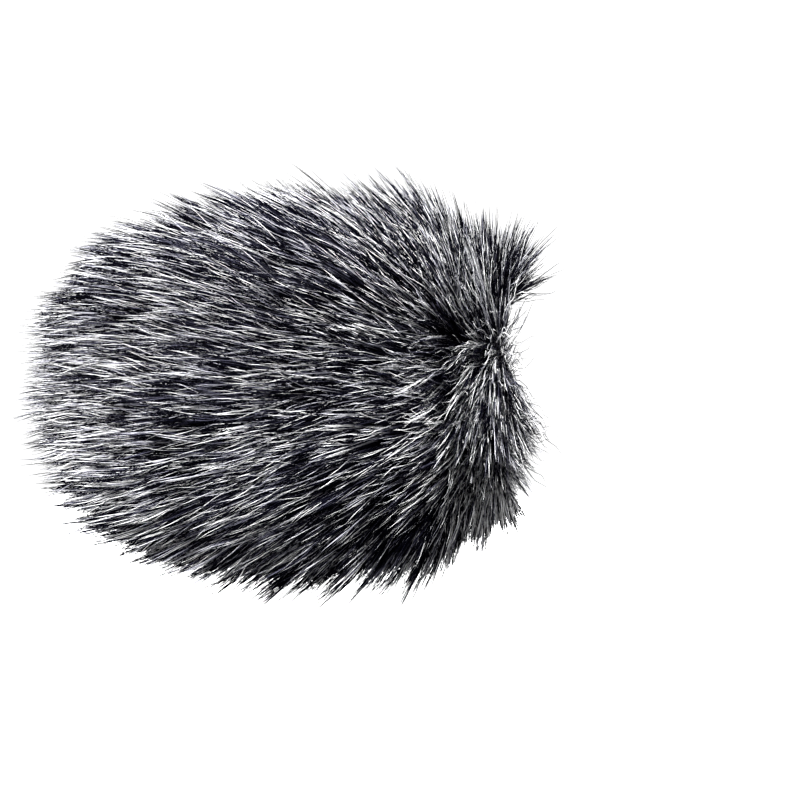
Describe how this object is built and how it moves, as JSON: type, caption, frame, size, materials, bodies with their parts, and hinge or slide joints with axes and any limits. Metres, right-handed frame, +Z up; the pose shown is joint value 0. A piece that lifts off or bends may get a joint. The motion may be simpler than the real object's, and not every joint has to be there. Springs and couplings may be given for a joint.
{
  "type": "furry windscreen",
  "caption": "Slip-over furry windscreen: long-haired fur cover with a gathered elastic mouth over a lined open-cell foam sleeve, closed at the nose, for the front of a slim microphone.",
  "frame": {"origin": "centre of the mouth, on the microphone's axis, in the plane of the hem's outer edge", "axes": "+X out of the mouth along the microphone's axis, towards the microphone's rear; -X to the nose; +Z up; -Y is the windscreen's left, seen from behind the microphone"},
  "size_m": [0.0895, 0.0718, 0.0718],
  "materials": {
    "fur_pile": "long synthetic pile, black undercoat with silver-white guard hairs",
    "knit_backing": "fine black warp knit, matte",
    "foam": "charcoal open-cell polyurethane foam, matte",
    "lining_mesh": "fine slippery polyester mesh, slight sheen",
    "binding_tape": "ribbed woven tape, matte",
    "elastic": "braided flat elastic, matte",
    "thread": "black polyester sewing thread, slight sheen"
  },
  "bodies": {
    "root": {"fur_left": "fur_pile", "fur_right": "fur_pile", "fur_nose": "fur_pile", "backing_left": "knit_backing", "backing_right": "knit_backing", "backing_nose": "knit_backing", "top_seam_thread": "thread", "bottom_seam_thread": "thread", "nose_seam_thread": "thread", "foam_sleeve": "foam", "foam_nose": "foam", "lining_sleeve": "lining_mesh", "lining_end": "lining_mesh", "lining_thread": "thread", "hem_binding": "binding_tape", "hem_thread": "thread", "mouth_stitches": "thread", "elastic_band": "elastic", "bar_tack": "thread"}
  },
  "joints": []
}
